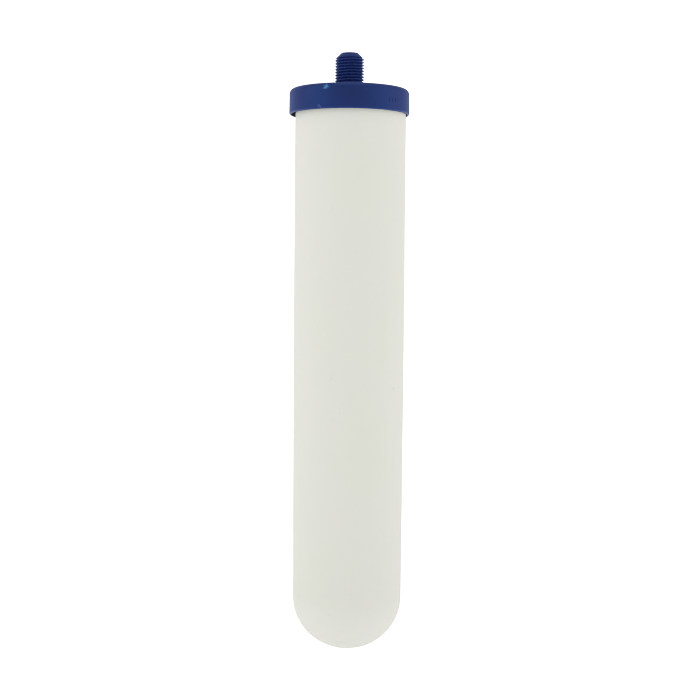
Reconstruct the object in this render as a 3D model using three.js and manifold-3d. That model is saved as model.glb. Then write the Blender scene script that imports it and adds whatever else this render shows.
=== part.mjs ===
// A ceramic water filter candle: a dome-ended ceramic shell potted into a moulded plastic end cap with a
// threaded outlet stem, and a carbon block inside it. Water seeps in through the ceramic and the block, and
// leaves through the bore of the block, its spigot and the stem.
//
// Millimetres, +Z up along the stem. The origin is the centre of the cap's top face, on the stem's axis.
import * as THREE from "three";
import { mergeVertices } from "three/addons/utils/BufferGeometryUtils.js";
import Module from "manifold-3d";

const wasm = await Module();
wasm.setup();

// Threaded stem: a straight quarter inch pipe thread, 13.157 mm with 19 turns to the inch, right-hand.
const THREAD_R = 6.5785;
const THREAD_PITCH = 25.4 / 19;
const THREAD_DEPTH = 0.64 * THREAD_PITCH;
const THREAD_CREST_FLAT = THREAD_PITCH / 6;
const THREAD_CREST_HEIGHT = 13.89; // height of one crest on the +X side, which sets the thread's start
const FLANK_SLOPE = Math.tan(THREE.MathUtils.degToRad(27.5)); // flanks at 55 degrees to each other
const STEM_LENGTH = 16.8;
const STEM_TIP_R = 3.8;
const WATERWAY_R = 3.2; // bore of the stem and of the spigot below it

// End cap, measured down from its top face.
const CAP_R = 27.58; // at the skirt's lower edge
const CAP_DRAFT = 0.13; // radius lost from the lower edge to the top
const CAP_HEIGHT = 11.64;
const CAP_EDGE_FILLET = 2.2;
const CAP_LIP_FILLET = 0.75;
const CAP_DISC = 3.2;
const SKIRT_WALL = 1.16;
const SEAT = { radius: 11.0, depth: 0.5 }; // recess that centres the sealing washer
const LOCATING_RING = { inner: 14.7, outer: 16.2, bottom: -9.5 };
const SOCKET = { inner: 5.95, outer: 8.05, bottom: -12.7 };
const RIB_COUNT = 6;
const RIB_THICKNESS = 1.5;
const RIB_BOTTOM = -6.9;

// Ceramic shell: its side is slightly barrelled, and narrows to the dome.
const SHELL_R = 25.38; // at the open end
const SHELL_NARROWING = 0.71; // radius lost from the open end to the dome
const SHELL_WALL = 8.25;
const SHELL_TOP = -4.65;
const SHELL_TIP = -256.8;
const DOME_HEIGHT = 23.8;
const DOME_Z = SHELL_TIP + DOME_HEIGHT; // where the side turns into the dome
const SHELL_OFFSET = 0.63; // the shell is potted this far off the cap's axis, towards +X

const POTTING = { innerBottom: -8.7, outerBottom: -7.6 }; // adhesive inside and outside the shell's wall

// Carbon block, its plastic ends and what joins them.
const BLOCK = { outer: 14.3, bore: 5.3, top: -16.6, length: 211.7 };
const BLOCK_BOTTOM = BLOCK.top - BLOCK.length;
const BLOCK_END_R = 15.25; // outside of the plastic end caps
const BLOCK_RIM = 0.8; // wall of their rims
const RIM_DEPTH = 4.2;
const GLUE = 0.5;
const GLUE_R = BLOCK.outer - 0.3;
const FLANGE = 2.1;
const SPIGOT_R = 5.75;
const SPIGOT_TOP = -3.7;
const SPIGOT_CHAMFER = 0.6;
const PLUG_CHAMFER = 0.5;
const O_RING = { middle: 5.17, section: 0.7, heights: [-7.0, -10.2] };
const O_RING_GROOVE = { root: 4.4, width: 1.8 };
const WRAP = { inner: 14.4, outer: 15.0 };
const CUSHION = { bottom: -242.9, bottomR: 11.1, shoulder: -238.2, shoulderR: 14.0, topR: 14.8 };

const WASHER = { inner: 6.8, outer: 10.6, thickness: 1.6 };

const BOND_GAP = 0.1; // between pieces that touch or are glued
const WASHER_Z = BOND_GAP - SEAT.depth;
const SEGMENTS = 48;
const CORE_SEGMENTS = 32;
const THREAD_SEGMENTS = 24;

const material = (color, roughness, metalness = 0) =>
  new THREE.MeshStandardMaterial({ color, roughness, metalness });
const CERAMIC = material("#e6e6dd", 0.9);
const BLUE_PLASTIC = material("#2c3f86", 0.45);
const ADHESIVE = material("#d9c9a0", 0.35);
const SILICONE = material("#dfe0de", 0.55);
const BLACK_RUBBER = material("#1c1c1d", 0.6);
const CARBON = material("#1a1a1b", 0.95);
const WHITE_PLASTIC = material("#eceae4", 0.5);
const FELT = material("#f0efea", 0.95);
const FOAM = material("#c9ccd0", 0.95);

// Profiles are lists of [radius, height]. They go up the outside and down the inside.
const arc = (r, z, radiusR, radiusZ, from, to, steps) =>
  Array.from({ length: steps + 1 }, (_, i) => {
    const angle = THREE.MathUtils.degToRad(from + ((to - from) * i) / steps);
    return [r + radiusR * Math.cos(angle), z + radiusZ * Math.sin(angle)];
  });

// The profile turned about Z. A profile that doesn't touch the axis is closed on itself.
function turned(profile, segments) {
  const points = profile.map(([r, z]) => new THREE.Vector2(Math.max(r, 0), z));
  if (profile[0][0] > 0) points.push(points[0].clone());
  return new THREE.LatheGeometry(points, segments).rotateX(Math.PI / 2);
}

const ring = (inner, outer, bottom, top, segments = CORE_SEGMENTS) =>
  turned([[inner, bottom], [outer, bottom], [outer, top], [inner, top]], segments);

function solidOf(geometry) {
  const bare = geometry.clone();
  bare.deleteAttribute("normal");
  bare.deleteAttribute("uv");
  const merged = mergeVertices(bare, 1e-4);
  return new wasm.Manifold(
    new wasm.Mesh({
      numProp: 3,
      vertProperties: new Float32Array(merged.attributes.position.array),
      triVerts: new Uint32Array(merged.index.array),
    }),
  );
}

function geometryOf(solid) {
  const mesh = solid.getMesh();
  const geometry = new THREE.BufferGeometry();
  geometry.setAttribute("position", new THREE.BufferAttribute(mesh.vertProperties, 3));
  geometry.setIndex(new THREE.BufferAttribute(mesh.triVerts, 1));
  const faceted = geometry.toNonIndexed();
  faceted.computeVertexNormals();
  return faceted;
}

// The thread's ridge: one trapezoid carried up a helix, its foot a little inside the stem's core.
function threadRidge(coreR) {
  const sink = 0.12;
  const crestHalf = THREAD_CREST_FLAT / 2;
  const footHalf = crestHalf + (THREAD_R - coreR + sink) * FLANK_SLOPE;
  const section = [
    [coreR - sink, -footHalf],
    [THREAD_R, -crestHalf],
    [THREAD_R, crestHalf],
    [coreR - sink, footHalf],
  ];
  const firstCrest = (THREAD_CREST_HEIGHT % THREAD_PITCH) - THREAD_PITCH;
  const turns = Math.ceil((STEM_LENGTH - firstCrest) / THREAD_PITCH);
  const steps = turns * THREAD_SEGMENTS;
  const corners = [];
  for (let i = 0; i <= steps; i++) {
    const angle = (2 * Math.PI * i) / THREAD_SEGMENTS;
    const height = firstCrest + (THREAD_PITCH * i) / THREAD_SEGMENTS;
    for (const [r, dz] of section) corners.push(r * Math.cos(angle), r * Math.sin(angle), height + dz);
  }
  const faces = [0, 1, 2, 0, 2, 3];
  for (let i = 0; i < steps; i++) {
    for (let j = 0; j < 4; j++) {
      const [a, b] = [i * 4 + j, i * 4 + ((j + 1) % 4)];
      faces.push(a, a + 4, b, b, a + 4, b + 4);
    }
  }
  const end = steps * 4;
  faces.push(end, end + 2, end + 1, end, end + 3, end + 2);
  const geometry = new THREE.BufferGeometry();
  geometry.setAttribute("position", new THREE.Float32BufferAttribute(corners, 3));
  return geometry.setIndex(faces);
}

// The stem: a core with the thread's ridge on it, both trimmed to a chamfered outline.
function threadedStem() {
  const coreR = THREAD_R - THREAD_DEPTH;
  const root = -CAP_DISC / 2;
  const rod = turned([[0, root], [coreR, root], [coreR, STEM_LENGTH], [0, STEM_LENGTH]], THREAD_SEGMENTS);
  const clear = THREAD_R + 0.5;
  const outline = [
    [0, root],
    [clear, root],
    [clear, STEM_LENGTH - (clear - STEM_TIP_R)],
    [STEM_TIP_R, STEM_LENGTH],
    [0, STEM_LENGTH],
  ];
  const threaded = solidOf(rod).add(solidOf(threadRidge(coreR)));
  return threaded.intersect(solidOf(turned(outline, THREAD_SEGMENTS)));
}

// The cap: a disc with an outer skirt, a ring that locates the shell's bore, and a socket for the spigot.
function endCap() {
  const topR = CAP_R - CAP_DRAFT;
  const skirtInner = CAP_R - SKIRT_WALL;
  const body = turned(
    [
      [0, -CAP_DISC],
      [SOCKET.inner, -CAP_DISC],
      [SOCKET.inner, SOCKET.bottom],
      [SOCKET.outer, SOCKET.bottom],
      [SOCKET.outer, -CAP_DISC],
      [LOCATING_RING.inner, -CAP_DISC],
      [LOCATING_RING.inner, LOCATING_RING.bottom],
      [LOCATING_RING.outer, LOCATING_RING.bottom],
      [LOCATING_RING.outer, -CAP_DISC],
      [skirtInner, -CAP_DISC],
      [skirtInner, -CAP_HEIGHT],
      ...arc(CAP_R - CAP_LIP_FILLET, -CAP_HEIGHT + CAP_LIP_FILLET, CAP_LIP_FILLET, CAP_LIP_FILLET, -90, 0, 2),
      ...arc(topR - CAP_EDGE_FILLET, -CAP_EDGE_FILLET, CAP_EDGE_FILLET, CAP_EDGE_FILLET, 0, 90, 5),
      [SEAT.radius, 0],
      [SEAT.radius, -SEAT.depth],
      [0, -SEAT.depth],
    ],
    SEGMENTS,
  );
  const ribLength = LOCATING_RING.inner - SOCKET.outer + 1;
  const rib = new THREE.BoxGeometry(ribLength, RIB_THICKNESS, -RIB_BOTTOM - CAP_DISC + 1);
  rib.translate((LOCATING_RING.inner + SOCKET.outer) / 2, 0, (RIB_BOTTOM - CAP_DISC + 1) / 2);
  let cap = solidOf(body).add(threadedStem());
  for (let i = 0; i < RIB_COUNT; i++) {
    const spoke = rib.clone().rotateZ((2 * Math.PI * i) / RIB_COUNT);
    cap = cap.add(solidOf(spoke));
  }
  const waterway = turned(
    [[0, -CAP_DISC - 1], [WATERWAY_R, -CAP_DISC - 1], [WATERWAY_R, STEM_LENGTH + 1], [0, STEM_LENGTH + 1]],
    CORE_SEGMENTS,
  );
  return geometryOf(cap.subtract(solidOf(waterway)));
}

// The side's radius loss grows with the square of the distance from the open end.
const shellLoss = (z) => SHELL_NARROWING * ((SHELL_TOP - z) / (SHELL_TOP - DOME_Z)) ** 2;

function ceramicShell() {
  const sideSteps = 8;
  const side = (radius) =>
    Array.from({ length: sideSteps }, (_, i) => {
      const z = DOME_Z + ((SHELL_TOP - DOME_Z) * (i + 1)) / sideSteps;
      return [radius - shellLoss(z), z];
    });
  const domeR = SHELL_R - SHELL_NARROWING;
  const innerDomeR = domeR - SHELL_WALL;
  return turned(
    [
      ...arc(0, DOME_Z, domeR, DOME_HEIGHT, -90, 0, 10),
      ...side(SHELL_R),
      ...side(SHELL_R - SHELL_WALL).reverse(),
      ...arc(0, DOME_Z, innerDomeR, DOME_HEIGHT - SHELL_WALL, 0, -90, 7),
    ],
    SEGMENTS,
  );
}

// The adhesive fills the cap's channel round the shell's open end, and stops short of the skirt's edge.
function pottingRing() {
  const top = -CAP_DISC - BOND_GAP;
  const outer = CAP_R - SKIRT_WALL - BOND_GAP;
  const inner = LOCATING_RING.outer + BOND_GAP;
  const midWall = SHELL_R - SHELL_WALL / 2;
  const channel = turned(
    [
      [inner, POTTING.innerBottom],
      [midWall, POTTING.innerBottom],
      [midWall, POTTING.outerBottom],
      [outer, POTTING.outerBottom],
      [outer, top],
      [inner, top],
    ],
    SEGMENTS,
  );
  const [boreR, outsideR] = [SHELL_R - SHELL_WALL - BOND_GAP, SHELL_R + BOND_GAP];
  const shellEnd = ring(boreR, outsideR, POTTING.innerBottom - 1, SHELL_TOP + BOND_GAP, SEGMENTS);
  return geometryOf(solidOf(channel).subtract(solidOf(shellEnd.translate(SHELL_OFFSET, 0, 0))));
}

// The block's outlet end: a rim round the block, a hollow boss in its bore, and a spigot with O-ring grooves.
function blockOutletCap() {
  const face = BLOCK.top + BOND_GAP + GLUE + BOND_GAP;
  const flangeTop = face + FLANGE;
  const grooves = O_RING.heights.toReversed().flatMap((z) => [
    [SPIGOT_R, z - O_RING_GROOVE.width / 2],
    [O_RING_GROOVE.root, z - O_RING_GROOVE.width / 2],
    [O_RING_GROOVE.root, z + O_RING_GROOVE.width / 2],
    [SPIGOT_R, z + O_RING_GROOVE.width / 2],
  ]);
  return turned(
    [
      [WATERWAY_R, face - RIM_DEPTH],
      [BLOCK.bore - BOND_GAP, face - RIM_DEPTH],
      [BLOCK.bore - BOND_GAP, face],
      [BLOCK_END_R - BLOCK_RIM, face],
      [BLOCK_END_R - BLOCK_RIM, face - RIM_DEPTH],
      [BLOCK_END_R, face - RIM_DEPTH],
      [BLOCK_END_R, flangeTop],
      [SPIGOT_R, flangeTop],
      ...grooves,
      [SPIGOT_R, SPIGOT_TOP - SPIGOT_CHAMFER],
      [SPIGOT_R - SPIGOT_CHAMFER, SPIGOT_TOP],
      [WATERWAY_R, SPIGOT_TOP],
    ],
    CORE_SEGMENTS,
  );
}

// The block's closed end: the same rim, and a solid boss in the bore.
function blockEndPlug() {
  const face = BLOCK_BOTTOM - BOND_GAP - GLUE - BOND_GAP;
  return turned(
    [
      [0, face - FLANGE],
      [BLOCK_END_R - PLUG_CHAMFER, face - FLANGE],
      [BLOCK_END_R, face - FLANGE + PLUG_CHAMFER],
      [BLOCK_END_R, face + RIM_DEPTH],
      [BLOCK_END_R - BLOCK_RIM, face + RIM_DEPTH],
      [BLOCK_END_R - BLOCK_RIM, face],
      [BLOCK.bore - BOND_GAP, face],
      [BLOCK.bore - BOND_GAP, face + RIM_DEPTH],
      [0, face + RIM_DEPTH],
    ],
    CORE_SEGMENTS,
  );
}

function blockWrap() {
  const end = RIM_DEPTH - GLUE - BOND_GAP;
  return ring(WRAP.inner, WRAP.outer, BLOCK_BOTTOM + end, BLOCK.top - end);
}

const oRing = () => new THREE.TorusGeometry(O_RING.middle, O_RING.section, 8, THREAD_SEGMENTS);

// A soft plug that steadies the block in the dome.
function domeCushion() {
  const top = BLOCK_BOTTOM - GLUE - FLANGE - 3 * BOND_GAP;
  const profile = [
    [0, CUSHION.bottom],
    [CUSHION.bottomR, CUSHION.bottom],
    [CUSHION.shoulderR, CUSHION.shoulder],
    [CUSHION.topR, top],
    [0, top],
  ];
  return turned(profile, CORE_SEGMENTS);
}

const candle = new THREE.Group();
function place(name, geometry, look, height = 0, aside = 0) {
  const mesh = new THREE.Mesh(geometry, look);
  mesh.name = name;
  mesh.position.set(aside, 0, height);
  candle.add(mesh);
}

place("end_cap", endCap(), BLUE_PLASTIC);
place("ceramic_shell", ceramicShell(), CERAMIC, 0, SHELL_OFFSET);
place("potting_ring", pottingRing(), ADHESIVE);
place("sealing_washer", ring(WASHER.inner, WASHER.outer, 0, WASHER.thickness), SILICONE, WASHER_Z);
place("carbon_block", ring(BLOCK.bore, BLOCK.outer, BLOCK_BOTTOM, BLOCK.top), CARBON);
place("block_wrap", blockWrap(), FELT);
place("block_outlet_cap", blockOutletCap(), WHITE_PLASTIC);
place("outlet_glue", ring(BLOCK.bore, GLUE_R, 0, GLUE), ADHESIVE, BLOCK.top + BOND_GAP);
place("spigot_o_ring_upper", oRing(), BLACK_RUBBER, O_RING.heights[0]);
place("spigot_o_ring_lower", oRing(), BLACK_RUBBER, O_RING.heights[1]);
place("block_end_plug", blockEndPlug(), WHITE_PLASTIC);
place("end_plug_glue", ring(BLOCK.bore, GLUE_R, -GLUE, 0), ADHESIVE, BLOCK_BOTTOM - BOND_GAP);
place("dome_cushion", domeCushion(), FOAM);

export default candle;
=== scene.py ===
"""A ceramic water filter candle in a light tent: fine meshes, materials, light and camera, on the CAD frame.

The frame and Blender are in metres. Shapes are written in millimetres and scaled as their meshes are made.
Materials, lights and the camera are written in metres.
"""
import math

import bmesh
import bpy
from mathutils import Matrix, Vector, noise


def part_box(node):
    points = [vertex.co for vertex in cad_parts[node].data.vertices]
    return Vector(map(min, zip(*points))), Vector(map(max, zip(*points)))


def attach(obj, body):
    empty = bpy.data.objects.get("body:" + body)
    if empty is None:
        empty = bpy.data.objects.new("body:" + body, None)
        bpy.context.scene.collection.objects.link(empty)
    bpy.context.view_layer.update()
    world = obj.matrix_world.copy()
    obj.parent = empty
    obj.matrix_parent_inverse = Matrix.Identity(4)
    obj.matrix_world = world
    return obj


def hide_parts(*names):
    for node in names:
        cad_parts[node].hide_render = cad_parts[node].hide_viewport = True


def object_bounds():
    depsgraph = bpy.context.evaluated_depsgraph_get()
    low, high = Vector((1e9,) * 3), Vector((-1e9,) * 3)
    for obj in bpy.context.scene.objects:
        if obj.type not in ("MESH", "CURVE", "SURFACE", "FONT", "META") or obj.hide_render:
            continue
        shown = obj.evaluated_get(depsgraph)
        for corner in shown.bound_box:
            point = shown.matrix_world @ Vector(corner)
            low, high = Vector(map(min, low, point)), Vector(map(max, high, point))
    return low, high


MM = 0.001

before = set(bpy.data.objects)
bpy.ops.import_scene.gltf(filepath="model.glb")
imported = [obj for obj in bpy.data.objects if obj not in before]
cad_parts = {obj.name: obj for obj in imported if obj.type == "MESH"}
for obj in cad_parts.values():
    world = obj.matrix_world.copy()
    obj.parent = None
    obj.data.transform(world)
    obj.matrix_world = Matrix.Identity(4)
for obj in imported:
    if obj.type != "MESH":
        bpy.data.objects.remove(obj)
cad_low, cad_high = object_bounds()


def round_size(node):
    """The radius, bottom and top of a round CAD node, in millimetres."""
    low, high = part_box(node)
    return (high.x - low.x) / 2 / MM, low.z / MM, high.z / MM


CAP_R, SOCKET_BOTTOM, STEM_TOP = round_size("end_cap")
SHELL_R, SHELL_TIP, SHELL_TOP = round_size("ceramic_shell")
SHELL_X = (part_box("ceramic_shell")[0].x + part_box("ceramic_shell")[1].x) / 2 / MM
WASHER_R, WASHER_BOTTOM, WASHER_TOP = round_size("sealing_washer")
BLOCK_R, BLOCK_BOTTOM, BLOCK_TOP = round_size("carbon_block")
WRAP_R, WRAP_BOTTOM, WRAP_TOP = round_size("block_wrap")
BLOCK_END_R, _, SPIGOT_TOP = round_size("block_outlet_cap")
PLUG_BOTTOM, PLUG_TOP = round_size("block_end_plug")[1:]
GLUE_R, OUTLET_GLUE_BOTTOM, OUTLET_GLUE_TOP = round_size("outlet_glue")
PLUG_GLUE_BOTTOM, PLUG_GLUE_TOP = round_size("end_plug_glue")[1:]
CUSHION_R, CUSHION_BOTTOM, CUSHION_TOP = round_size("dome_cushion")

# End cap and its stem.
CAP_DRAFT = 0.13
CAP_HEIGHT = 11.64
CAP_DISC = 3.2
CAP_EDGE_FILLET = 2.2
CAP_LIP_FILLET = 0.75
SKIRT_WALL = 1.16
SEAT_R, SEAT_DEPTH = 11.0, 0.5
LOCATING_RING_INNER, LOCATING_RING_OUTER, LOCATING_RING_BOTTOM = 14.7, 16.2, -9.5
SOCKET_INNER, SOCKET_OUTER = 5.95, 8.05
RIB_COUNT, RIB_THICKNESS, RIB_BOTTOM = 6, 1.5, -6.9
WATERWAY_R = 3.2
THREAD_R = 6.5785
THREAD_PITCH = 25.4 / 19
THREAD_DEPTH = 0.72 * THREAD_PITCH  # deeper than the CAD's
THREAD_CREST_FLAT = THREAD_PITCH / 7
THREAD_FLANK = THREAD_DEPTH * math.tan(math.radians(30))
THREAD_ROUNDING = 0.05  # of the flank
THREAD_CREST_HEIGHT = 13.89  # height of one crest on the +X side
STEM_TIP_R = 3.8
STEM_SHOULDER_FILLET, STEM_TIP_FILLET = 1.2, 0.35
TICK_COUNT, TICK_SIZE, TICK_BEVEL = 4, (0.75, 0.95, 2.3), 0.08
TICK_RELIEF, TICK_HEIGHT = 0.12, -7.0
TICK_FIRST, TICK_STEP = -48.0, 4.0  # degrees about Z from +X
GAP_SHADE_LIP = 0.45  # how far the painted shade in the gap reaches over the skirt's edge

# Ceramic shell.
SHELL_WALL = 8.25
SHELL_NARROWING = 0.71
DOME_HEIGHT = 23.8
DOME_Z = SHELL_TIP + DOME_HEIGHT

# Carbon block and its ends.
BLOCK_BORE = 5.3
BLOCK_RIM = 0.8
RIM_DEPTH = 4.2
FLANGE = 2.1
SPIGOT_R = 5.75
O_RING_MIDDLE, O_RING_SECTION = 5.17, 0.7
O_RING_GROOVE_R, O_RING_GROOVE_WIDTH = 4.4, 1.8
O_RING_HEIGHTS = [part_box(f"spigot_o_ring_{place}")[0].z / MM + O_RING_SECTION for place in ("upper", "lower")]
SPIGOT_CHAMFER = 0.6
CUSHION_FOOT_R = 11.1
CUSHION_SHOULDER, CUSHION_SHOULDER_R = -238.2, 14.0

# Joints and seals.
POTTING_INNER_BOTTOM, POTTING_OUTER_BOTTOM = -8.7, -7.6
MENISCUS = 0.5
WASHER_INNER = 6.8
FLASH = 0.12
BOND_GAP = 0.1

# Wear, painted shade and a painted highlight, in metres. The two bands lie at a distance from the axis: start,
# full, fading and end.
KNOCK = (-0.0106, -0.0255, -0.0017)  # on the cap's top edge
NICK = (-0.0134, -0.0240, -0.0106)  # near its lower edge
RAGGED = 0.0008  # how far the outline of a mark strays
# Painted shade in the thread's roots.
ROOT_PAINTED_SHADE = (0.0047, 0.0053, 0.0058, 0.0063)
# Painted highlight on the thread's crests.
CREST_PAINTED_HIGHLIGHT = (0.0061, 0.0064, 0.0067, 0.0068)
STEM_FOOT = (0.0, 0.0005)  # heights between which the painted highlight on the crests sets in
# Painted shade on the stem's tip, between these heights.
STEM_TIP_PAINTED_SHADE = (0.0146, 0.0167)
SHELL_PAINTED_SHADE = (-0.0145, -0.0117)  # painted shade: a faint dark line under the cap
PALE_SCATTER = (1.0, 0.9, 0.75)  # how far red, green and blue light spread inside a pale material

# The view: level, at mid-height, a little to the right of the candle, and tilted.
CAMERA_DISTANCE = 0.900
CAMERA_ASIDE = 0.00122
CAMERA_HEIGHT = -0.1198
CAMERA_ROLL = math.radians(0.47)
CAMERA_LENS_MM = 100.5
SENSOR_MM = 36
PIXEL_FILTER = 1.0  # in pixels

# The studio. The tent's brightness is given at so many degrees from the middle of its opening, once for matt
# surfaces and once for reflections.
OPENING_ASIDE = 6  # degrees from the camera, towards +X
MATT_LIGHT = [(0, 0.37), (25, 0.48), (50, 0.71), (90, 0.78), (130, 0.64), (180, 0.55)]
SHINY_LIGHT = [
    (0, 0.04), (20, 0.16), (40, 0.42), (60, 0.78), (80, 0.74), (110, 0.25), (140, 0.42), (180, 0.50),
]
TENT_TINT = (1.0, 0.995, 0.985)
BACKDROP = 1.05  # what the camera sees past the candle
SOFTBOX_SIZE = (0.64, 0.95)
LEFT_SOFTBOX, LEFT_WATTS = (-0.79, -0.26, -0.05), 0.50
RIGHT_SOFTBOX, RIGHT_WATTS = (0.85, -0.21, -0.05), 0.39
FLOOR_DROP = 0.053  # from the tip of the dome to the floor
FLOOR_SIZE = 30.0
FLOOR_GLOW = 0.45
FLOOR_GLOW_START, FLOOR_GLOW_FULL = 0.074, 0.159  # from the candle's axis


# --- Mesh tools ---


def rounded(corners, steps=6):
    """The outline through (r, z) corners, with an arc of `steps` pieces at each (r, z, fillet) corner."""
    points = []
    for i, (r, z, *fillet) in enumerate(corners):
        here = Vector((r, z))
        if not fillet:
            points.append(here)
            continue
        to_last = (Vector(corners[i - 1][:2]) - here).normalized()
        to_next = (Vector(corners[(i + 1) % len(corners)][:2]) - here).normalized()
        half_angle = to_last.angle(to_next) / 2
        centre = here + (to_last + to_next).normalized() * fillet[0] / math.sin(half_angle)
        reach = fillet[0] / math.tan(half_angle)
        first = (here + to_last * reach - centre).normalized()
        last = (here + to_next * reach - centre).normalized()
        points += [centre + first.slerp(last, step / steps) * fillet[0] for step in range(steps + 1)]
    return points


def arc(centre_r, centre_z, radius_r, radius_z, start, end, steps):
    """Points on an ellipse in the (r, z) plane, from one angle to another, in degrees."""
    angles = [math.radians(start + (end - start) * i / steps) for i in range(steps + 1)]
    return [Vector((centre_r + radius_r * math.cos(a), centre_z + radius_z * math.sin(a))) for a in angles]


def finished(name, bm, material=None):
    """An object from a bmesh in millimetres, with smooth faces and crisp edges."""
    bmesh.ops.recalc_face_normals(bm, faces=bm.faces)
    mesh = bpy.data.meshes.new(name)
    bm.to_mesh(mesh)
    bm.free()
    mesh.transform(Matrix.Scale(MM, 4))
    piece = bpy.data.objects.new(name, mesh)
    bpy.context.scene.collection.objects.link(piece)
    crisp(piece)
    if material:
        mesh.materials.append(material)
    return piece


def crisp(piece, angle=32):
    """Smooth shading, except over edges that turn by more than `angle` degrees."""
    piece.data.polygons.foreach_set("use_smooth", [True] * len(piece.data.polygons))
    piece.data.set_sharp_from_angle(angle=math.radians(angle))


def lathed(profile, segments=128, x=0.0):
    """A bmesh of the profile turned about Z at x. A profile that stays off the axis is closed on itself."""
    bm = bmesh.new()
    rings = []
    for r, z in profile:
        if r < 1e-6:
            rings.append([bm.verts.new((x, 0, z))])
            continue
        turns = [2 * math.pi * i / segments for i in range(segments)]
        rings.append([bm.verts.new((x + r * math.cos(t), r * math.sin(t), z)) for t in turns])
    pairs = list(zip(rings, rings[1:]))
    if len(rings[0]) > 1 and len(rings[-1]) > 1:
        pairs.append((rings[-1], rings[0]))
    for lower, upper in pairs:
        for i in range(segments):
            j = (i + 1) % segments
            corners = [ring[k % len(ring)] for ring, k in ((lower, i), (lower, j), (upper, j), (upper, i))]
            corners = list(dict.fromkeys(corners))
            if len(corners) > 2:
                bm.faces.new(corners)
    return bm


def turned(name, profile, material=None, segments=128, x=0.0):
    return finished(name, lathed(profile, segments, x), material)


def combine(target, tool, operation):
    """Joins the tool to the target, or cuts it away, and removes the tool."""
    modifier = target.modifiers.new("combine", "BOOLEAN")
    modifier.operation = operation
    modifier.solver = "MANIFOLD"
    modifier.object = tool
    bpy.context.view_layer.objects.active = target
    bpy.ops.object.modifier_apply(modifier=modifier.name)
    bpy.data.objects.remove(tool)


def wear_only(piece, material):
    """Gives the whole piece one material, with no slots left over from the tools that shaped it."""
    piece.data.materials.clear()
    piece.data.materials.append(material)
    piece.data.polygons.foreach_set("material_index", [0] * len(piece.data.polygons))


def uneven(piece, waves, applies=lambda point: True):
    """Moves the points along their normals by smooth noise. Each wave is (height, length), in millimetres."""
    mesh = piece.data
    moves = []
    for vertex in mesh.vertices:
        point = vertex.co / MM
        height = sum(h * noise.noise(point / length) for h, length in waves) if applies(point) else 0
        moves.append(vertex.normal * height * MM)
    for vertex, move in zip(mesh.vertices, moves):
        vertex.co += move


def stands_for(piece, node, body="candle"):
    """Puts the piece in the place of a CAD node, whose object keeps the plain name."""
    piece.name = f"{node}_fine"
    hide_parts(node)
    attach(piece, body)
    return piece


# --- Materials ---


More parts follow.
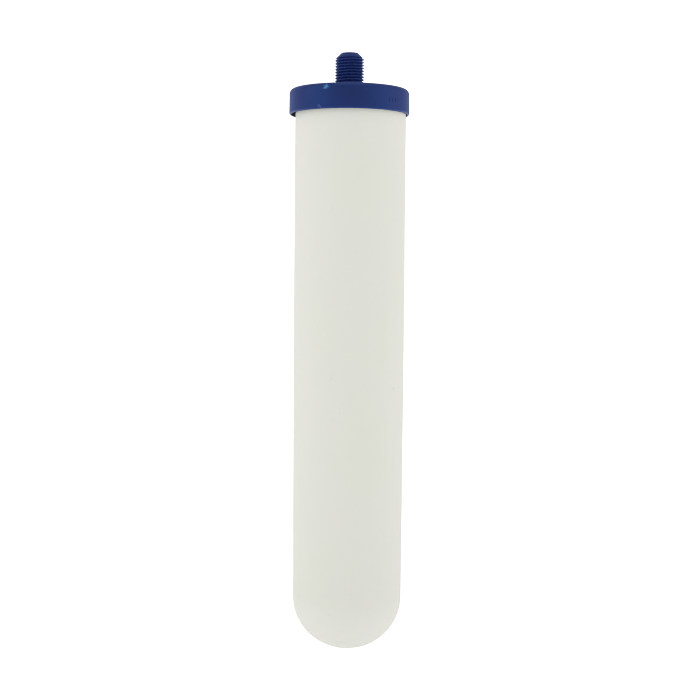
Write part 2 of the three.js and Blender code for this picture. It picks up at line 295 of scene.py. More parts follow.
class Surface:
    """A procedural material. Its textures lie in the object's own coordinates, in metres."""

    def __init__(self, name, **constants):
        self.material = bpy.data.materials.new(name)
        self.material.use_nodes = True
        self.nodes = self.material.node_tree.nodes
        self.shader = self.nodes["Principled BSDF"]
        self.shader.inputs["Subsurface Radius"].default_value = PALE_SCATTER
        for socket, value in constants.items():
            self.shader.inputs[socket.replace("_", " ")].default_value = value
        self.place = self.nodes.new("ShaderNodeTexCoord").outputs["Object"]

    def connect(self, value, socket):
        if isinstance(value, bpy.types.NodeSocket):
            self.material.node_tree.links.new(value, socket)
        else:
            socket.default_value = value

    def stretched(self, scale):
        node = self.nodes.new("ShaderNodeMapping")
        node.inputs["Scale"].default_value = scale
        self.connect(self.place, node.inputs["Vector"])
        return node.outputs["Vector"]

    def noise(self, size, detail=2, stretch=(1, 1, 1), roughness=0.5):
        """Noise from 0 to 1, whose largest features are about `size` metres."""
        node = self.nodes.new("ShaderNodeTexNoise")
        self.connect(self.stretched(stretch), node.inputs["Vector"])
        node.inputs["Scale"].default_value = 1 / size
        node.inputs["Detail"].default_value = detail
        node.inputs["Roughness"].default_value = roughness
        return node.outputs["Fac"]

    def cells(self, size, output="Distance", feature="F1"):
        """Voronoi cells about `size` metres across."""
        node = self.nodes.new("ShaderNodeTexVoronoi")
        node.feature = feature
        self.connect(self.place, node.inputs["Vector"])
        node.inputs["Scale"].default_value = 1 / size
        return node.outputs[output]

    def math(self, operation, first, second=0.0):
        node = self.nodes.new("ShaderNodeMath")
        node.operation = operation
        for value, socket in zip((first, second), node.inputs):
            self.connect(value, socket)
        return node.outputs[0]

    def fit(self, value, low, high, to_low=0.0, to_high=1.0, smooth=False):
        """The value rescaled from low..high to to_low..to_high, and held there beyond."""
        node = self.nodes.new("ShaderNodeMapRange")
        node.interpolation_type = "SMOOTHSTEP" if smooth else "LINEAR"
        for entry, socket in zip((value, low, high, to_low, to_high), node.inputs):
            self.connect(entry, socket)
        return node.outputs[0]

    def band(self, value, start, full, fading, end):
        """1 where the value lies between full and fading, falling to 0 at start and at end."""
        return self.math("MULTIPLY", self.fit(value, start, full), self.fit(value, fading, end, 1, 0))

    def connect_colour(self, colour, socket):
        self.connect(colour if isinstance(colour, bpy.types.NodeSocket) else (*colour, 1), socket)

    def mix(self, share, first, second):
        node = self.nodes.new("ShaderNodeMix")
        node.data_type = "RGBA"
        self.connect(share, node.inputs["Factor"])
        self.connect_colour(first, node.inputs[6])
        self.connect_colour(second, node.inputs[7])
        return node.outputs[2]

    def worn(self, body, mask, share, colour):
        """The body's colour with up to `share` of another over it, where the mask is 1."""
        return self.mix(self.math("MULTIPLY", mask, share), body, colour)

    def specks(self, size, share, radius):
        """1 inside sparse round specks, one in each of a `share` of the cells."""
        chosen = self.nodes.new("ShaderNodeSeparateColor")
        self.connect(self.cells(size, "Color"), chosen.inputs[0])
        picked = self.math("LESS_THAN", chosen.outputs[0], share)
        return self.math("MULTIPLY", self.fit(self.cells(size), radius, radius * 0.5, smooth=True), picked)

    def coordinates(self):
        """The x, y and z of a point on the surface, in metres."""
        node = self.nodes.new("ShaderNodeSeparateXYZ")
        self.connect(self.place, node.inputs[0])
        return node.outputs

    def from_axis(self):
        """The distance from the axis of the stem, in metres."""
        x, y, _ = self.coordinates()
        return self.math("SQRT", self.math("ADD", self.math("MULTIPLY", x, x), self.math("MULTIPLY", y, y)))

    def distance_to(self, point):
        node = self.nodes.new("ShaderNodeVectorMath")
        node.operation = "DISTANCE"
        self.connect(self.place, node.inputs[0])
        node.inputs[1].default_value = point
        return node.outputs["Value"]

    def mark(self, place, outer, inner, raggedness):
        """1 inside a mark at the place. It fades between two radii, and its outline is ragged."""
        return self.fit(self.math("ADD", self.distance_to(place), raggedness), outer, inner, smooth=True)

    def bump(self, height, depth, below=None):
        """A normal from a height of 0 to 1, which is `depth` metres high."""
        node = self.nodes.new("ShaderNodeBump")
        node.inputs["Distance"].default_value = depth
        self.connect(height, node.inputs["Height"])
        if below:
            self.connect(below, node.inputs["Normal"])
        return node.outputs["Normal"]

    def done(self, colour, roughness=None, normal=None):
        self.connect_colour(colour, self.shader.inputs["Base Color"])
        if roughness is not None:
            self.connect(roughness, self.shader.inputs["Roughness"])
        if normal:
            self.connect(normal, self.shader.inputs["Normal"])
        return self.material


def fired_ceramic():
    """Unglazed porous ceramic: chalky, with a fine grain, sparse pinholes and faint lengthwise streaks."""
    s = Surface("fired_ceramic", Specular_IOR_Level=0.2, Subsurface_Weight=0.12, Subsurface_Scale=0.0015)
    clouds = s.fit(s.noise(0.045, detail=3), 0.3, 0.7)
    streaks = s.fit(s.noise(0.009, detail=3, stretch=(1, 1, 0.07)), 0.3, 0.7)
    grain = s.noise(0.0004, detail=4, roughness=0.65)
    pinholes = s.specks(0.0035, share=0.05, radius=0.09)
    body = s.mix(clouds, (0.838, 0.852, 0.765), (0.842, 0.850, 0.800))
    body = s.worn(body, streaks, 0.35, (0.856, 0.862, 0.800))
    body = s.mix(s.fit(grain, 0.25, 0.75, 0.06, 0.0), body, (0.62, 0.62, 0.56))
    body = s.worn(body, pinholes, 0.35, (0.42, 0.41, 0.36))
    # Painted shade: a faint darker band on the shell just under the cap.
    body = s.worn(body, s.fit(s.coordinates()[2], *SHELL_PAINTED_SHADE), 0.06, (0.30, 0.30, 0.28))
    trimmed = s.noise(0.0009, detail=2, stretch=(0.03, 0.03, 1))
    normal = s.bump(s.noise(0.006, detail=3), 0.00008)
    normal = s.bump(trimmed, 0.00001, normal)
    normal = s.bump(grain, 0.00004, normal)
    normal = s.bump(s.math("MULTIPLY", pinholes, -1), 0.0001, normal)
    return s.done(body, s.fit(grain, 0.3, 0.7, 0.85, 0.98), normal)


def blue_plastic():
    """Satin moulded polypropylene with light scuffs, a knock and a nick, painted shade in the thread's roots
    and on the stem's tip, and a painted highlight on the thread's crests.
    """
    s = Surface("blue_plastic", Specular_IOR_Level=1.0, Sheen_Weight=0.3, Sheen_Roughness=0.6)
    s.shader.inputs["Specular Tint"].default_value = (0.0, 0.26, 1.0, 1)
    s.shader.inputs["Sheen Tint"].default_value = (0.03, 0.15, 0.85, 1)
    # The colour of the scuffs, and also of the painted highlight on the crests.
    scuff_and_highlight = (0.07, 0.11, 0.30)
    clouds = s.fit(s.noise(0.012, detail=3), 0.3, 0.7)
    body = s.mix(clouds, (0.0220, 0.0258, 0.093), (0.0250, 0.0288, 0.105))
    rubbed = s.fit(s.noise(0.0022, detail=5, stretch=(1, 1, 0.35), roughness=0.7), 0.60, 0.78)
    body = s.worn(body, rubbed, 0.10, scuff_and_highlight)
    ragged = s.fit(s.noise(0.0011, detail=3, roughness=0.6), 0.3, 0.7, -RAGGED, RAGGED)
    knock = s.mark(KNOCK, 0.0016, 0.0006, ragged)
    body = s.worn(body, knock, 0.75, (0.09, 0.29, 0.56))
    body = s.worn(body, s.mark(NICK, 0.0006, 0.0002, ragged), 0.6, (0.14, 0.17, 0.36))
    height, from_axis = s.coordinates()[2], s.from_axis()
    # Painted shade: the thread's roots and the stem's tip darkened to a deep blue.
    painted_thread_shade = s.math("MAXIMUM", s.band(from_axis, *ROOT_PAINTED_SHADE), s.fit(height, *STEM_TIP_PAINTED_SHADE))
    body = s.worn(body, painted_thread_shade, 0.55, (0.003, 0.009, 0.055))
    # Painted highlight: the crests lightened above the stem's foot.
    crests = s.math("MULTIPLY", s.band(from_axis, *CREST_PAINTED_HIGHLIGHT), s.fit(height, *STEM_FOOT))
    body = s.worn(body, crests, 0.18, scuff_and_highlight)
    normal = s.bump(s.noise(0.007, detail=2), 0.00004)
    normal = s.bump(s.noise(0.0003, detail=3), 0.000006, normal)
    roughness = s.fit(s.noise(0.0015, detail=4), 0.3, 0.7, 0.36, 0.46)
    dulled = s.math("MULTIPLY", s.math("MAXIMUM", rubbed, knock), 0.12)
    return s.done(body, s.math("ADD", roughness, dulled), normal)


def gap_shade_plastic():
    """The same plastic made near-black and dull: painted shade in the gap between the skirt and the shell."""
    s = Surface("gap_shade_plastic", Specular_IOR_Level=0.1)
    body = s.mix(s.fit(s.noise(0.0012, detail=4), 0.35, 0.65), (0.008, 0.009, 0.012), (0.030, 0.032, 0.038))
    return s.done(body, 0.9, s.bump(s.noise(0.0005, detail=3), 0.00003))


def potting_adhesive():
    """Cured amber epoxy, with small bubbles."""
    s = Surface("potting_adhesive", Specular_IOR_Level=0.5, Subsurface_Weight=0.2, Subsurface_Scale=0.001)
    bubbles = s.specks(0.0012, share=0.2, radius=0.25)
    body = s.mix(s.noise(0.006, detail=3), (0.50, 0.38, 0.20), (0.60, 0.48, 0.28))
    body = s.worn(body, bubbles, 0.5, (0.80, 0.70, 0.50))
    normal = s.bump(s.noise(0.003, detail=2), 0.0001)
    return s.done(body, s.fit(s.noise(0.002), 0.3, 0.7, 0.22, 0.38), s.bump(bubbles, 0.00006, normal))


def silicone():
    """Milky moulded silicone, slightly dusty."""
    s = Surface("silicone", Specular_IOR_Level=0.45, Subsurface_Weight=0.35, Subsurface_Scale=0.002)
    body = s.mix(s.noise(0.004, detail=4), (0.70, 0.72, 0.70), (0.78, 0.79, 0.77))
    normal = s.bump(s.noise(0.0004, detail=3), 0.00001)
    return s.done(body, s.fit(s.noise(0.0012, detail=4), 0.3, 0.7, 0.45, 0.62), normal)


def seal_rubber():
    """Black rubber with a trace of grease, which makes patches of it shinier."""
    s = Surface("seal_rubber", Specular_IOR_Level=0.5)
    body = s.mix(s.noise(0.0008, detail=4), (0.012, 0.012, 0.013), (0.022, 0.022, 0.022))
    normal = s.bump(s.noise(0.0002, detail=3), 0.000006)
    return s.done(body, s.fit(s.noise(0.002, detail=3), 0.35, 0.65, 0.25, 0.55), normal)


def sintered_carbon():
    """Pressed carbon grains: matt black, with a few grains that catch the light."""
    s = Surface("sintered_carbon", Specular_IOR_Level=0.35)
    grain = 0.0006
    facets = s.nodes.new("ShaderNodeSeparateColor")
    s.connect(s.cells(grain, "Color"), facets.inputs[0])
    body = s.mix(facets.outputs[0], (0.010, 0.010, 0.011), (0.034, 0.034, 0.036))
    glints = s.math("GREATER_THAN", facets.outputs[1], 0.93)
    normal = s.bump(s.fit(s.cells(grain), 0, 0.7, 1, 0), 0.0002)
    normal = s.bump(s.noise(0.0002, detail=3), 0.00003, normal)
    return s.done(body, s.math("SUBTRACT", 0.9, s.math("MULTIPLY", glints, 0.5)), normal)


def white_plastic():
    """White moulded polypropylene."""
    s = Surface("white_plastic", Specular_IOR_Level=0.45, Subsurface_Weight=0.15, Subsurface_Scale=0.001)
    body = s.mix(s.noise(0.01, detail=3), (0.76, 0.75, 0.70), (0.80, 0.79, 0.75))
    normal = s.bump(s.noise(0.0004, detail=3), 0.000008)
    return s.done(body, s.fit(s.noise(0.003, detail=4), 0.3, 0.7, 0.34, 0.48), normal)


def bonded_felt():
    """Nonwoven sleeve: matted fibres, pressed flat at a regular grid of bond points."""
    s = Surface("bonded_felt", Specular_IOR_Level=0.15, Sheen_Weight=0.25, Sheen_Roughness=0.6)
    fibres = s.noise(0.0010, detail=5, stretch=(1, 1, 0.25), roughness=0.7)
    crossing = s.noise(0.0010, detail=5, stretch=(0.3, 0.3, 1.4), roughness=0.7)
    mat = s.math("MULTIPLY", s.math("ADD", fibres, crossing), 0.5)
    bonds = s.fit(s.cells(0.0018), 0.16, 0.24, smooth=True)
    body = s.mix(s.fit(mat, 0.35, 0.65), (0.66, 0.65, 0.61), (0.84, 0.83, 0.80))
    body = s.mix(s.fit(bonds, 0, 1, 0.3, 0), body, (0.58, 0.57, 0.53))
    normal = s.bump(bonds, 0.00012)
    return s.done(body, 0.95, s.bump(mat, 0.0001, normal))


def open_foam():
    """Open-cell foam."""
    s = Surface("open_foam", Specular_IOR_Level=0.15, Sheen_Weight=0.15, Sheen_Roughness=0.5)
    walls = s.fit(s.cells(0.0011, feature="DISTANCE_TO_EDGE"), 0.0, 0.22, 1, 0)
    # The middle of each cell is darker: painted shade in the open pores.
    body = s.mix(walls, (0.16, 0.17, 0.19), (0.52, 0.54, 0.58))
    return s.done(body, 0.95, s.bump(walls, 0.0005))


# --- Pieces ---


def thread_radius(distance):
    """The thread's radius at an axial distance from a crest, with its crest and root a little rounded."""
    down = (abs(distance) - THREAD_CREST_FLAT / 2) / THREAD_FLANK
    fallen = (math.hypot(down, THREAD_ROUNDING) - math.hypot(down - 1, THREAD_ROUNDING) + 1) / 2
    return THREAD_R - THREAD_DEPTH * fallen


def thread_mesh(bottom, top, segments=96, rows_per_turn=24):
    """A closed, over-long threaded rod. Its rows follow the helix, so its crests are smooth."""
    bm = bmesh.new()
    first = THREAD_CREST_HEIGHT % THREAD_PITCH - THREAD_PITCH * math.ceil(-bottom / THREAD_PITCH + 2)
    rows = rows_per_turn * math.ceil((top - first) / THREAD_PITCH + 1)
    columns = []
    for i in range(segments):
        angle, rise = 2 * math.pi * i / segments, THREAD_PITCH * i / segments
        column = []
        for k in range(rows):
            along = THREAD_PITCH * k / rows_per_turn
            offset = (along + THREAD_PITCH / 2) % THREAD_PITCH - THREAD_PITCH / 2
            r = thread_radius(offset)
            column.append(bm.verts.new((r * math.cos(angle), r * math.sin(angle), first + along + rise)))
        columns.append(column)
    for i in range(segments - 1):
        for k in range(rows - 1):
            bm.faces.new((columns[i][k], columns[i + 1][k], columns[i + 1][k + 1], columns[i][k + 1]))
    for k in range(rows - 1 - rows_per_turn):  # the last column meets the first one a turn higher
        low, high = columns[-1], columns[0]
        step = k + rows_per_turn
        bm.faces.new((low[k], high[step], high[step + 1], low[k + 1]))
    close_end(bm, [c[0] for c in columns] + [columns[0][k] for k in range(rows_per_turn, 0, -1)])
    tail = [columns[-1][k] for k in range(rows - 1, rows - 1 - rows_per_turn, -1)]
    close_end(bm, [c[-1] for c in columns] + tail[1:] + [columns[-1][rows - 1 - rows_per_turn]])
    return bm


def close_end(bm, loop):
    """Closes a ragged end with a fan to a point on the axis."""
    height = sum(v.co.z for v in loop) / len(loop)
    hub = bm.verts.new((0, 0, height))
    for a, b in zip(loop, loop[1:] + loop[:1]):
        bm.faces.new((a, b, hub))


def threaded_stem():
    """A length of thread, cut to the stem's chamfered outline."""
    root = -CAP_DISC / 2
    clear = THREAD_R + 0.5
    stem = finished("stem", thread_mesh(root, STEM_TOP))
    outline = [
        (0, root),
        (clear, root),
        (clear, STEM_TOP - (clear - STEM_TIP_R), STEM_SHOULDER_FILLET),
        (STEM_TIP_R, STEM_TOP, STEM_TIP_FILLET),
        (0, STEM_TOP),
    ]
    combine(stem, turned("outline", rounded(outline)), "INTERSECT")
    return stem


def box(size, centre, turn=0.0, bevel=0.0):
    """A bmesh box with its edges rounded, turned about Z."""
    bm = bmesh.new()
    bmesh.ops.create_cube(bm, size=1)
    bmesh.ops.scale(bm, vec=size, verts=bm.verts)
    if bevel:
        bmesh.ops.bevel(bm, geom=list(bm.edges), offset=bevel, segments=3, affect="EDGES", profile=0.5)
    bmesh.ops.translate(bm, vec=centre, verts=bm.verts)
    bmesh.ops.rotate(bm, cent=(0, 0, 0), matrix=Matrix.Rotation(turn, 3, "Z"), verts=bm.verts)
    return bm


def end_cap(material, gap_shade):
    """The cap and its stem in one moulding: disc, skirt, locating ring, ribbed socket and thread."""
    skirt_inner = CAP_R - SKIRT_WALL
    body = turned("end_cap", rounded([
        (0, -CAP_DISC),
        (SOCKET_INNER, -CAP_DISC),
        (SOCKET_INNER, SOCKET_BOTTOM, 0.5),
        (SOCKET_OUTER, SOCKET_BOTTOM, 0.3),
        (SOCKET_OUTER, -CAP_DISC, 0.5),
        (LOCATING_RING_INNER, -CAP_DISC, 0.5),
        (LOCATING_RING_INNER, LOCATING_RING_BOTTOM, 0.3),
        (LOCATING_RING_OUTER, LOCATING_RING_BOTTOM, 0.3),
        (LOCATING_RING_OUTER, -CAP_DISC, 0.5),
        (skirt_inner, -CAP_DISC, 0.8),
        (skirt_inner, -CAP_HEIGHT, 0.2),
        (CAP_R, -CAP_HEIGHT, CAP_LIP_FILLET),
        (CAP_R - CAP_DRAFT, 0, CAP_EDGE_FILLET),
        (SEAT_R, 0, 0.2),
        (SEAT_R, -SEAT_DEPTH),
        (0, -SEAT_DEPTH),
    ], steps=10), material, segments=192)
    for i in range(RIB_COUNT):
        length = LOCATING_RING_INNER - SOCKET_OUTER + 1
        middle = (LOCATING_RING_INNER + SOCKET_OUTER) / 2
        height = -RIB_BOTTOM - CAP_DISC + 1
        place, turn = (middle, 0, RIB_BOTTOM + height / 2), 2 * math.pi * i / RIB_COUNT
        combine(body, finished("rib", box((length, RIB_THICKNESS, height), place, turn)), "UNION")
    for i in range(TICK_COUNT):
        middle = CAP_R - CAP_DRAFT / 2 + TICK_RELIEF - TICK_SIZE[0] / 2
        turn = math.radians(TICK_FIRST + TICK_STEP * i)
        tick = box(TICK_SIZE, (middle, 0, TICK_HEIGHT), turn, TICK_BEVEL)
        combine(body, finished("tick", tick), "UNION")
    combine(body, threaded_stem(), "UNION")
    low, high = -CAP_DISC - 1, STEM_TOP + 1
    bore = turned("bore", [(0, low), (WATERWAY_R, low), (WATERWAY_R, high), (0, high)])
    combine(body, bore, "DIFFERENCE")
    crisp(body)
    wear_only(body, material)
    # Painted shade: the faces in the gap, just inside the skirt's lower edge, get the near-black material.
    body.data.materials.append(gap_shade)
    for face in body.data.polygons:
        from_skirt = math.hypot(face.center.x, face.center.y) / MM - skirt_inner
        below_disc = face.center.z / MM < -CAP_DISC - 1
        if -0.1 < from_skirt < GAP_SHADE_LIP and below_disc and face.normal.z < 0.1:
            face.material_index = 1
    return body


def shell_radius(z):
    """The shell's outer radius on its side: it loses more towards the dome."""
    share = (SHELL_TOP - z) / (SHELL_TOP - DOME_Z)
    return SHELL_R - SHELL_NARROWING * share**2


def ceramic_shell(material):
    dome_r = SHELL_R - SHELL_NARROWING
    rows = 120
    heights = [DOME_Z + (SHELL_TOP - DOME_Z) * i / rows for i in range(1, rows)]
    dome = arc(0, DOME_Z, dome_r, DOME_HEIGHT, -90, 0, 36)
    outside = dome + [Vector((shell_radius(z), z)) for z in heights]
    rim = rounded([
        (dome_r, DOME_Z),
        (SHELL_R, SHELL_TOP, 0.5),
        (SHELL_R - SHELL_WALL, SHELL_TOP, 0.5),
        (dome_r - SHELL_WALL, DOME_Z),
    ])[1:-1]
    inside = arc(0, DOME_Z, dome_r - SHELL_WALL, DOME_HEIGHT - SHELL_WALL, 0, -90, 20)
    shell = turned("ceramic_shell", outside + rim + inside, material, segments=160, x=SHELL_X)
    mid_wall = SHELL_R - SHELL_WALL / 2

    def on_outside(point):
        return math.hypot(point.x - SHELL_X, point.y) > mid_wall or point.z < SHELL_TIP + SHELL_WALL / 2

    uneven(shell, [(0.10, 26), (0.02, 5)], on_outside)
    return shell


def potting_ring(material):
    """The adhesive between cap and shell. It climbs a little up the walls at its free surfaces."""
    skirt_inner = CAP_R - SKIRT_WALL - BOND_GAP
    ring_outer = LOCATING_RING_OUTER + BOND_GAP
    top = -CAP_DISC - BOND_GAP
    middle = SHELL_R - SHELL_WALL / 2
    potting = turned("potting_ring", rounded([
        (ring_outer, POTTING_INNER_BOTTOM),
        (middle, POTTING_INNER_BOTTOM + MENISCUS),
        (middle, POTTING_OUTER_BOTTOM + MENISCUS),
        (skirt_inner, POTTING_OUTER_BOTTOM),
        (skirt_inner, top, 0.8),
        (ring_outer, top, 0.5),
    ]), material, segments=192)
    bore_r, outside_r = SHELL_R - SHELL_WALL - BOND_GAP, SHELL_R + BOND_GAP
    low, high = POTTING_INNER_BOTTOM - 1, SHELL_TOP + BOND_GAP
    shell_end = [(bore_r, low), (outside_r, low), (outside_r, high), (bore_r, high)]
    combine(potting, turned("shell_end", shell_end, segments=192, x=SHELL_X), "DIFFERENCE")
    crisp(potting)
    wear_only(potting, material)
    return potting


def sealing_washer(material):
    """A moulded washer with rounded edges and a hair of flash round the middle of its rim."""
    middle = (WASHER_BOTTOM + WASHER_TOP) / 2
    profile = rounded([
        (WASHER_INNER, WASHER_BOTTOM, 0.3),
        (WASHER_R - FLASH, WASHER_BOTTOM, 0.35),
        (WASHER_R - FLASH, middle - FLASH),
        (WASHER_R, middle),
        (WASHER_R - FLASH, middle + FLASH),
        (WASHER_R - FLASH, WASHER_TOP, 0.35),
        (WASHER_INNER, WASHER_TOP, 0.3),
    ])
    return turned("sealing_washer", profile, material, segments=144)


def carbon_block(material):
    """A pressed and sintered tube, with slightly crumbled edges."""
    rows = 160
    heights = [BLOCK_BOTTOM + (BLOCK_TOP - BLOCK_BOTTOM) * i / rows for i in range(rows + 1)]
    profile = [Vector((BLOCK_R, z)) for z in heights] + [Vector((BLOCK_BORE, z)) for z in reversed(heights)]
    crumbled = 0.25
    for corner, side in ((0, -1), (rows, -1), (rows + 1, 1), (-1, 1)):
        profile[corner] += Vector((side * crumbled, 0))
    block = turned("carbon_block", profile, material, segments=96)
    uneven(block, [(0.07, 3), (0.05, 0.9)])
    return block


def block_wrap(material):
    """A nonwoven sleeve: one thin strip wound round the block, its edge lapped over its start."""
    thickness, gap = 0.26, 0.04
    inner = WRAP_R - 2 * (thickness + gap)
    lap = math.radians(24)
    steps = 150
    bm = bmesh.new()
    rings = []
    for i in range(steps + 1):
        angle = (2 * math.pi + lap) * i / steps
        lift = (thickness + gap) * min(max((angle - 2 * math.pi + 2 * lap) / lap, 0), 1)
        section = []
        for r in (inner + lift, inner + lift + thickness):
            for z in (WRAP_BOTTOM, WRAP_TOP):
                section.append(bm.verts.new((r * math.sin(angle), r * math.cos(angle), z)))
        rings.append([section[0], section[1], section[3], section[2]])
    for last, this in zip(rings, rings[1:]):
        for j in range(4):
            bm.faces.new((last[j], last[(j + 1) % 4], this[(j + 1) % 4], this[j]))
    bm.faces.new(rings[0])
    bm.faces.new(rings[-1])
    wrap = finished("block_wrap", bm, material)
    return wrap


def block_outlet_cap(material):
    """The block's outlet end: a rim, a hollow boss, and a spigot with two O-ring grooves."""
    face = OUTLET_GLUE_TOP + BOND_GAP
    grooves = []
    for z in sorted(O_RING_HEIGHTS):
        low, high = z - O_RING_GROOVE_WIDTH / 2, z + O_RING_GROOVE_WIDTH / 2
        grooves += [
            (SPIGOT_R, low, 0.12),
            (O_RING_GROOVE_R, low, 0.2),
            (O_RING_GROOVE_R, high, 0.2),
            (SPIGOT_R, high, 0.12),
        ]
    profile = rounded([
        (WATERWAY_R, face - RIM_DEPTH, 0.3),
        (BLOCK_BORE - BOND_GAP, face - RIM_DEPTH, 0.5),
        (BLOCK_BORE - BOND_GAP, face, 0.3),
        (BLOCK_END_R - BLOCK_RIM, face, 0.3),
        (BLOCK_END_R - BLOCK_RIM, face - RIM_DEPTH, 0.3),
        (BLOCK_END_R, face - RIM_DEPTH, 0.3),
        (BLOCK_END_R, face + FLANGE, 0.6),
        (SPIGOT_R, face + FLANGE, 0.8),
        *grooves,
        (SPIGOT_R, SPIGOT_TOP - SPIGOT_CHAMFER, 0.3),
        (SPIGOT_R - SPIGOT_CHAMFER, SPIGOT_TOP, 0.2),
        (WATERWAY_R, SPIGOT_TOP, 0.3),
    ])
    return turned("block_outlet_cap", profile, material)


def block_end_plug(material):
    """The block's closed end: the same rim, and a solid boss."""
    face = PLUG_GLUE_BOTTOM - BOND_GAP
    profile = rounded([
        (0, PLUG_BOTTOM),
        (BLOCK_END_R, PLUG_BOTTOM, 0.7),
        (BLOCK_END_R, PLUG_TOP, 0.3),
        (BLOCK_END_R - BLOCK_RIM, PLUG_TOP, 0.3),
        (BLOCK_END_R - BLOCK_RIM, face, 0.3),
        (BLOCK_BORE - BOND_GAP, face, 0.3),
        (BLOCK_BORE - BOND_GAP, PLUG_TOP, 0.5),
        (0, PLUG_TOP),
    ])
    return turned("block_end_plug", profile, material)


def glue_ring(name, bottom, top, material):
    """A squeezed ring of hot-melt glue, with bulging edges."""
    bulge = (top - bottom) / 2 * 0.98
    return turned(name, rounded([
        (BLOCK_BORE, bottom, bulge),
        (GLUE_R, bottom, bulge),
        (GLUE_R, top, bulge),
        (BLOCK_BORE, top, bulge),
    ]), material)


def o_ring(name, height, material):
    section = arc(O_RING_MIDDLE, height, O_RING_SECTION, O_RING_SECTION, 0, 360, 32)[:-1]
    return turned(name, section, material)


def dome_cushion(material):
    """A foam plug, slightly squeezed and crowned where it faces the dome."""
    profile = rounded([
        (0, CUSHION_BOTTOM),
        (CUSHION_FOOT_R, CUSHION_BOTTOM + 0.3, 2.2),
        (CUSHION_SHOULDER_R, CUSHION_SHOULDER, 3.0),
        (CUSHION_R, CUSHION_TOP, 0.9),
        (0, CUSHION_TOP),
    ], steps=10)
    cushion = turned("dome_cushion", profile, material, segments=96)
    uneven(cushion, [(0.12, 4)], lambda point: point.z < CUSHION_TOP - 1)
    return cushion


def light_tent():
    """A white tent, darkest at its opening and dim behind. The camera itself sees plain white."""
    world = bpy.data.worlds.new("light_tent")
    world.use_nodes = True
    bpy.context.scene.world = world
    nodes, links = world.node_tree.nodes, world.node_tree.links
    facing = nodes.new("ShaderNodeVectorMath")
    facing.operation = "DOT_PRODUCT"
    turn = math.radians(OPENING_ASIDE)
    facing.inputs[1].default_value = (-math.sin(turn), math.cos(turn), 0)
    links.new(nodes.new("ShaderNodeTexCoord").outputs["Generated"], facing.inputs[0])
    along = nodes.new("ShaderNodeMapRange")
    along.inputs["From Min"].default_value = -1
    links.new(facing.outputs["Value"], along.inputs["Value"])

    def tent(brightness):
        ramp = nodes.new("ShaderNodeValToRGB")
        stops = ramp.color_ramp.elements
        while len(stops) < len(brightness):
            stops.new(0.5)
        for stop, (degrees, level) in zip(stops, brightness):
            stop.position = (1 - math.cos(math.radians(degrees))) / 2
            stop.color = (*(level * tint for tint in TENT_TINT), 1)
        links.new(along.outputs["Result"], ramp.inputs["Fac"])
        background = nodes.new("ShaderNodeBackground")
        links.new(ramp.outputs["Color"], background.inputs["Color"])
        return background

    def choose(ray, otherwise, then):
        choice = nodes.new("ShaderNodeMixShader")
        links.new(rays.outputs[ray], choice.inputs["Fac"])
        links.new(otherwise.outputs[0], choice.inputs[1])
        links.new(then.outputs[0], choice.inputs[2])
        return choice

    rays = nodes.new("ShaderNodeLightPath")
    backdrop = nodes["Background"]
    backdrop.inputs["Color"].default_value = (1, 1, 1, 1)
    backdrop.inputs["Strength"].default_value = BACKDROP
    lit = choose("Is Glossy Ray", tent(MATT_LIGHT), tent(SHINY_LIGHT))
    links.new(choose("Is Camera Ray", lit, backdrop).outputs[0], nodes["World Output"].inputs["Surface"])


def softbox(name, place, watts):
    """A large soft lamp that faces the middle of the candle."""
    data = bpy.data.lights.new(name, "AREA")
    data.shape = "RECTANGLE"
    data.size, data.size_y = SOFTBOX_SIZE
    data.energy = watts
    lamp = bpy.data.objects.new(name, data)
    towards = (cad_low + cad_high) / 2 - Vector(place)
    lamp.matrix_world = Matrix.Translation(place) @ towards.to_track_quat("-Z", "Y").to_matrix().to_4x4()
    bpy.context.scene.collection.objects.link(lamp)


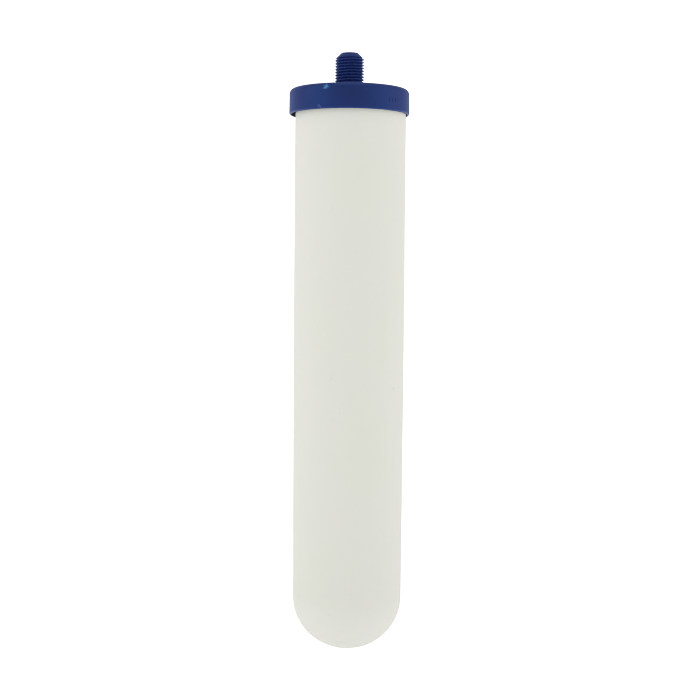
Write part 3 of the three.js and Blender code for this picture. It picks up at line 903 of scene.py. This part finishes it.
def floor():
    """A plain white floor under the hanging candle."""
    s = Surface("floor", Roughness=0.8, Specular_IOR_Level=0.1, Emission_Strength=FLOOR_GLOW)
    height = SHELL_TIP * MM - FLOOR_DROP
    glow = s.fit(s.distance_to((0, 0, height)), FLOOR_GLOW_START, FLOOR_GLOW_FULL, smooth=True)
    s.connect(s.mix(glow, (0.4, 0.4, 0.4), (1, 1, 1)), s.shader.inputs["Emission Color"])
    material = s.done((0.9, 0.9, 0.9))
    bm = bmesh.new()
    bmesh.ops.create_grid(bm, x_segments=1, y_segments=1, size=FLOOR_SIZE / 2 / MM)
    bmesh.ops.translate(bm, vec=(0, 0, height / MM), verts=bm.verts)
    finished("floor", bm, material)


def camera():
    data = bpy.data.cameras.new("camera")
    data.lens = CAMERA_LENS_MM
    data.sensor_width = SENSOR_MM
    view = bpy.data.objects.new("camera", data)
    view.matrix_world = (
        Matrix.Translation((CAMERA_ASIDE, -CAMERA_DISTANCE, CAMERA_HEIGHT))
        @ Matrix.Rotation(math.radians(90), 4, "X")
        @ Matrix.Rotation(CAMERA_ROLL, 4, "Z")
    )
    bpy.context.scene.collection.objects.link(view)
    bpy.context.scene.camera = view


camera()
light_tent()
softbox("left_softbox", LEFT_SOFTBOX, LEFT_WATTS)
softbox("right_softbox", RIGHT_SOFTBOX, RIGHT_WATTS)
floor()

adhesive, plastic, rubber = potting_adhesive(), white_plastic(), seal_rubber()
stands_for(end_cap(blue_plastic(), gap_shade_plastic()), "end_cap")
stands_for(ceramic_shell(fired_ceramic()), "ceramic_shell")
stands_for(potting_ring(adhesive), "potting_ring")
stands_for(sealing_washer(silicone()), "sealing_washer", body="washer")
stands_for(carbon_block(sintered_carbon()), "carbon_block")
stands_for(block_wrap(bonded_felt()), "block_wrap")
stands_for(block_outlet_cap(plastic), "block_outlet_cap")
stands_for(glue_ring("outlet_glue", OUTLET_GLUE_BOTTOM, OUTLET_GLUE_TOP, adhesive), "outlet_glue")
for height, node in zip(O_RING_HEIGHTS, ("spigot_o_ring_upper", "spigot_o_ring_lower")):
    stands_for(o_ring(node, height, rubber), node)
stands_for(block_end_plug(plastic), "block_end_plug")
stands_for(glue_ring("end_plug_glue", PLUG_GLUE_BOTTOM, PLUG_GLUE_TOP, adhesive), "end_plug_glue")
stands_for(dome_cushion(open_foam()), "dome_cushion")

bpy.context.scene.view_settings.view_transform = "Standard"
bpy.context.scene.cycles.filter_width = PIXEL_FILTER
